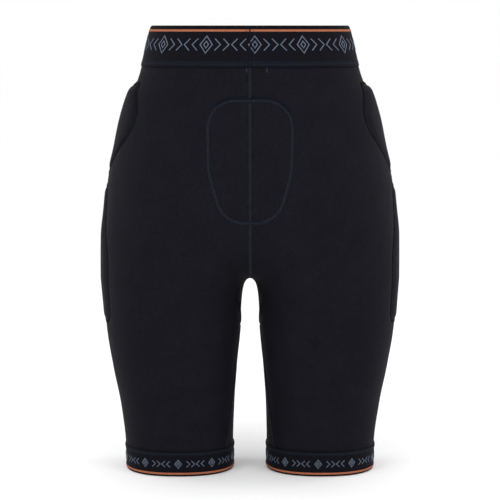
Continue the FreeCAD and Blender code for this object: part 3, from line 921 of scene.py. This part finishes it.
JOIN_PROFILE = [(-0.8, -0.3), (-0.7, 0.25), (-0.2, 0.32), (0.2, 0.32), (0.7, 0.25), (0.8, -0.3)]
TACK_PROFILE = [(-0.9, -0.2), (-0.6, 0.5), (0.6, 0.5), (0.9, -0.2)]
join = [(join_line(0, WAIST_TOP - 1.5, 1.55), in_metres(JOIN_PROFILE), False)]
belongs(ribbon("waistband_join", join, TAPE), "seam_thread")
running_stitches("waistband_join_stitching", [join_line(x, WAIST_TOP - 2, 1.4) for x in (-4.5, 4.5)],
                 2.0, 0.8, 0.2)
tacks = []
for x in (-4.0, 21.0):
    spots = cast_all([((x * MM, -0.4, (PANEL_HIGH - drop) * MM), (0, 1, 0)) for drop in (7, 4, 1)])
    tacks.append((surface_path(spots, False), in_metres(TACK_PROFILE), False))
belongs(ribbon("waistband_bar_tacks", tacks, THREAD), "seam_thread")

# ---- hem bands
HEM_MOTIF_START = {"left": 0.1, "right": 4.7}
hem_profile = ([(0.0, -0.3), (0.35, 0.45), (1.4, 0.9)]
               + [(6 + k * 4.8, 0.95 + 0.12 * math.sin(k)) for k in range(5)]
               + [(PANEL_LOW - 1.5, 0.95), (PANEL_LOW - 0.4, 0.7), (PANEL_LOW + 0.6, -0.2)]
               + [(PANEL_LOW - 1, -1.5), (22, -1.5), (11, -1.5), (1.4, -1.5), (0.35, -1.2)])
grip_profile = ([(9.4, -1.55), (9.8, -2.4)] + [(11.4 + k * 1.4, -2.4 - 0.35 * (k % 2)) for k in range(9)]
                + [(24.4, -2.4), (24.8, -1.55)])
for side, sign in (("left", 1), ("right", -1)):
    hem = Loop(16, False, sign)
    band_mesh("hem_band_%s_cloth" % side, hem, hem_profile, BAND, "band_jacquard", "hem_band_" + side,
              count=200)
    stripe("hem_stripe_%s_yarn" % side, hem, 2.4, 5.0, 1.4, COPPER, "copper_yarn", "hem_stripe_" + side)
    stripe("hem_coverstitch_" + side, hem, PANEL_LOW - 5.2, PANEL_LOW - 0.6, 1.3, BINDING, "band_jacquard")
    laid_strokes("hem_motif_" + side, hem,
                 motif_row(hem.total, 16.5, (8.6, 11), (25, 8), 0.95, 42.5, HEM_MOTIF_START[side]), 1.38)
    running_stitches("hem_stitching_" + side, [band_line(hem, PANEL_LOW - 2.6, 1.35)])
    band_mesh("hem_gripper_%s_silicone" % side, hem, grip_profile, SILICONE, "silicone",
              "hem_gripper_" + side, count=160)

# ---- protectors
PAD_THICK = 9.0
GROOVES = 3


class Protector:
    """One moulded pad and its pocket, laid out on a surface of revolution about
    a far axis: s runs round the axis, t runs along it, in mm."""

    def __init__(self, place, forward, round_axis, along_axis, half, low, high, curve, span, corner, foot):
        self.place = Vector(place)
        self.axes = (Vector(forward), Vector(round_axis), Vector(along_axis))
        self.half, self.low, self.high = half, low, high
        self.bulge = half**2 / (2 * curve)
        self.mean = (low + high) / 2
        self.wide = math.radians(span / 2) * self.mean
        self.groove_reach = math.radians(span / 2 - 10) * self.mean
        self.corner, self.foot = corner, foot

    def radius(self, t):
        share = t / self.half
        return self.mean + (self.high - self.low) / 2 * share + self.bulge * (1 - share**2)

    def direction(self, s):
        angle = s / self.mean
        return self.axes[0] * math.cos(angle) + self.axes[1] * math.sin(angle)

    def point(self, s, t, radius, sign):
        spot = self.place + self.direction(s) * radius + self.axes[2] * t
        return Vector((spot.x * sign, spot.y + FORWARD, spot.z)) * MM

    def outline(self, ease=0.0, mouth=0.0):
        """The pad's rounded outline, grown by ease, and by mouth at the
        leading end."""
        w, h = self.wide + ease, self.half + ease
        return rounded_outline([(-w - mouth, h), (w, h), (w, -h), (-w - mouth, -h)],
                               [self.corner + ease, self.foot + ease, self.foot + ease, self.corner + ease])


def leaning(degrees):
    turn = math.radians(180 - degrees)
    return (math.cos(turn), math.sin(turn), 0), (-math.sin(turn), math.cos(turn), 0), (0, 0, 1)


TAIL_LEAN = math.radians(10.2)
PROTECTORS = {
    "hip": Protector((-65, -5, 445), *leaning(3), 48, 98, 82.8, 256, 76, 20, 20),
    "thigh": Protector((-104, -4, 283), *leaning(19), 80, 76.5, 76.5, 480, 90, 26, 26),
    "coccyx": Protector((0, 100, 368), (0, -math.cos(TAIL_LEAN), math.sin(TAIL_LEAN)),
                        (0, -math.sin(TAIL_LEAN), -math.cos(TAIL_LEAN)), (1, 0, 0),
                        44, 221.9, 221.9, 300, 35.8, 20, 38),
}


def snapped_grid(outline, spacing, cut_before=-1e9):
    """A square grid cut to an outline, its edge moved onto the outline; gives
    the spots, their distance inside, and the quads."""
    us = [p.x for p in outline]
    vs = [p.y for p in outline]
    start = max(min(us), cut_before)
    columns = int((max(us) - start) / spacing) + 1
    rows = int((max(vs) - min(vs)) / spacing) + 1
    u = np.linspace(start, max(us), columns)
    v = np.linspace(min(vs), max(vs), rows)
    grid_u, grid_v = np.meshgrid(u, v, indexing="ij")
    distance = inside_distance(outline, grid_u, grid_v)
    keep = distance > spacing * 0.45
    quads = []
    used = {}
    spots = []

    def vertex(i, j):
        if (i, j) not in used:
            used[(i, j)] = len(spots)
            spots.append([grid_u[i, j], grid_v[i, j], distance[i, j]])
        return used[(i, j)]

    for i in range(columns - 1):
        for j in range(rows - 1):
            corners = [(i, j), (i + 1, j), (i + 1, j + 1), (i, j + 1)]
            if sum(bool(keep[c]) for c in corners) >= 3 or (i == 0 and cut_before > min(us)
                                                            and keep[1, j] and keep[1, j + 1]):
                quads.append([vertex(*c) for c in corners])
    uses = {}
    for quad in quads:
        for one, two in edges_of(quad):
            key = (min(one, two), max(one, two))
            uses[key] = uses.get(key, 0) + 1
    rim = {index for edge, number in uses.items() if number == 1 for index in edge}
    for index in rim:
        x, y, _ = spots[index]
        if x <= start + 1e-6 and cut_before > min(us):
            continue
        best = None
        for one, two in edges_of(outline):
            run = two - one
            t = ((x - one.x) * run.x + (y - one.y) * run.y) / max(1e-9, run.length_squared)
            t = max(0.0, min(1.0, t))
            near = one + run * t
            gap = (near.x - x)**2 + (near.y - y)**2
            if best is None or gap < best[0]:
                best = (gap, near)
        spots[index] = [best[1].x, best[1].y, 0.0]
    return spots, quads, rim


PAD_EDGE = 4.2
PAD_GRID = 2.0
VENT_PITCH = 13.0


def pad_relief(kind, s, t, inside):
    """How far the outer face is cut back: flex grooves, a rim line, vents."""
    guard = PROTECTORS[kind]
    cut = 0.0
    for number in range(GROOVES):
        level = guard.half * (number - (GROOVES - 1) / 2) * 0.5
        ends = float(smoothstep(0.0, 5.0, guard.groove_reach - abs(s)))
        cut = max(cut, 2.2 * ends * math.exp(-((t - level) / 1.9)**4))
    cut = max(cut, 0.7 * math.exp(-((inside - 8.0) / 1.1)**2))
    row = round(t / (guard.half * 0.5) - 0.5)
    centre_t = (row + 0.5) * guard.half * 0.5
    centre_s = round(s / VENT_PITCH) * VENT_PITCH
    if inside > 12:
        cut = max(cut, 1.5 * math.exp(-(((s - centre_s)**2 + (t - centre_t)**2) / 2.6**2)**2))
    return cut


def build_pad(kind, node, sign):
    guard = PROTECTORS[kind]
    spots, quads, rim = snapped_grid(guard.outline(), PAD_GRID)
    bm, layer = cloth_mesh()
    front, back = [], []
    for index, (s, t, inside) in enumerate(spots):
        share = min(1.0, inside / PAD_EDGE)
        belly = PAD_THICK / 2 * math.sqrt(1 - (1 - share)**2)
        outer = PAD_THICK / 2 - belly + (pad_relief(kind, s, t, inside) if share == 1 else 0.0)
        inner = PAD_THICK / 2 + belly
        front.append(bm.verts.new(guard.point(s, t, guard.radius(t) - outer, sign)))
        if index in rim:
            back.append(front[-1])
        else:
            back.append(bm.verts.new(guard.point(s, t, guard.radius(t) - inner, sign)))
    for quad in quads:
        for side, order in ((front, quad), (back, quad[::-1])):
            corners = [side[k] for k in order]
            if side is back and all(k in rim for k in quad):
                continue
            add_face(bm, layer, corners, [(spots[k][0] * MM, spots[k][1] * MM) for k in order])
    pad = belongs(new_object(node + "_moulding", bm, FOAM, closed=True), "pad_foam", node,
                  body=node.replace("pad", "protector"))


LINER_EASE = 8.0
LINER_GAP = 0.7
LINER_SKIN = 1.7
LINER_GRID = 3.0


def build_liner(kind, node, sign):
    """The pocket's inner layer: sewn to the shell round three sides, held off
    by the pad, and open at the mouth."""
    guard = PROTECTORS[kind]
    outline = guard.outline(LINER_EASE, 40.0)
    spots, quads, _ = snapped_grid(outline, LINER_GRID, cut_before=-guard.wide - 3.0)
    bm, layer = cloth_mesh()
    verts = []
    for s, t, inside in spots:
        close = guard.radius(t) - PAD_THICK - LINER_GAP
        start = guard.mean - 45
        origin = guard.point(s, t, start, sign)
        away = (guard.point(s, t, start + 1, sign) - origin).normalized()
        hit = cast(origin, away)
        shell = (hit[0] - origin).length / MM + start - LINER_SKIN if hit else close
        settle = float(smoothstep(0.0, LINER_EASE - 1.0, inside))
        verts.append(bm.verts.new(guard.point(s, t, shell + (min(close, shell) - shell) * settle, sign)))
    for quad in quads:
        order = quad[::-1] if sign > 0 else quad
        add_face(bm, layer, [verts[k] for k in order], [(spots[k][0] * MM, spots[k][1] * MM) for k in order])
    bm.normal_update()
    axis = guard.point(0, 0, 0, sign)
    if sum(face.normal.dot(face.calc_center_median() - axis) for face in bm.faces) < 0:
        bmesh.ops.reverse_faces(bm, faces=bm.faces)
    area = sum(face.calc_area() for face in bm.faces)
    item = new_object(node + "_mesh", bm, LINER)
    thicken(item, 0.45)
    belongs(item, "pocket_mesh", node)


for kind in ("hip", "thigh"):
    for side, sign in (("left", 1), ("right", -1)):
        build_pad(kind, "%s_pad_%s" % (kind, side), sign)
        build_liner(kind, "%s_pocket_%s" % (kind, side), sign)
build_pad("coccyx", "coccyx_pad", 1)
build_liner("coccyx", "coccyx_pocket", 1)

# ---- care label
LABEL_WIDE, LABEL_TALL = 34.0, 24.0
label_low, label_high = PANEL_HIGH - LABEL_TALL / 2, PANEL_HIGH + LABEL_TALL / 2
bm, layer = cloth_mesh()
rows = []
for j in range(13):
    free = 1 - j / 12        # from 1 at the loose lower edge to 0 at the stitching
    outsets = [-2.1 - 1.4 * free**2 - 0.25 * math.sin(k * 0.7) * free for k in range(17)]
    level = label_low + LABEL_TALL * j / 12
    rows.append([bm.verts.new(WAIST.point(LABEL_WIDE * (k / 16 - 0.5), level, outset))
                 for k, outset in enumerate(outsets)])
for j in range(12):
    for k in range(16):
        add_face(bm, layer, (rows[j][k], rows[j][k + 1], rows[j + 1][k + 1], rows[j + 1][k]),
                 [(u * 0.0021, v * 0.002) for u, v in ((k, j), (k + 1, j), (k + 1, j + 1), (k, j + 1))])
label = new_object("care_label_ribbon", bm, LABEL)
thicken(label, 0.3, 0.0)
belongs(label, "label_satin", "care_label")
running_stitches("care_label_stitching",
                 [band_line(WAIST, label_high - 1.5, -2.35, WAIST.total - 16, WAIST.total + 16, 1.6)],
                 2.0, 0.8, 0.18)

# ---- stage, light and camera
FLOOR = (0.93, 0.93, 0.935)
bm, layer = cloth_mesh()
bmesh.ops.create_grid(bm, x_segments=2, y_segments=2, size=30.0)
shade = Shade("floor", Specular_IOR_Level=0.05, Emission_Color=(1, 1, 1, 1), Emission_Strength=0.07)
cloud = shade.noise(3.0)
shade.finish(shade.mix(cloud, (*FLOOR, 1.0), (*[c * 0.995 for c in FLOOR], 1.0)),
             shade.span(cloud, 0.8, 0.85))
floor = new_object("floor", bm, shade.material, smooth=False)
floor.location = (0, 0, -0.0005)

world = bpy.data.worlds.new("studio")
world.use_nodes = True
background = world.node_tree.nodes["Background"]
background.inputs["Color"].default_value = (1.0, 1.0, 1.0, 1.0)
background.inputs["Strength"].default_value = 1.0
bpy.context.scene.world = world

LIGHT_AIM = Vector((0, 0, 0.3))
for name, place, size, power in (("key", (-1.3, -1.9, 1.7), (1.2, 1.2), 16),
                                 ("fill", (1.6, -1.7, 1.2), (1.2, 1.2), 13),
                                 ("rim_left", (-1.7, 0.7, 0.9), (0.7, 1.4), 5),
                                 ("rim_right", (1.7, 0.7, 0.9), (0.7, 1.4), 5)):
    light = bpy.data.lights.new(name, "AREA")
    light.shape = "RECTANGLE"
    light.size, light.size_y = size
    light.energy = power
    item = bpy.data.objects.new(name, light)
    item.location = place
    item.rotation_euler = (LIGHT_AIM - Vector(place)).to_track_quat("-Z", "Y").to_euler()
    bpy.context.scene.collection.objects.link(item)

DISTANCE = 2.41
FRAME_TALL = 0.6408
camera_data = bpy.data.cameras.new("camera")
camera_data.sensor_width = 36.0
camera_data.lens = 36.0 * DISTANCE / FRAME_TALL
camera = bpy.data.objects.new("camera", camera_data)
camera.location = (0.0, -DISTANCE, 0.574)
camera.rotation_euler = (Vector((0.0, 0.0, 0.2862)) - camera.location).to_track_quat("-Z", "Y").to_euler()
bpy.context.scene.collection.objects.link(camera)
bpy.context.scene.camera = camera
bpy.context.scene.view_settings.view_transform = "Standard"
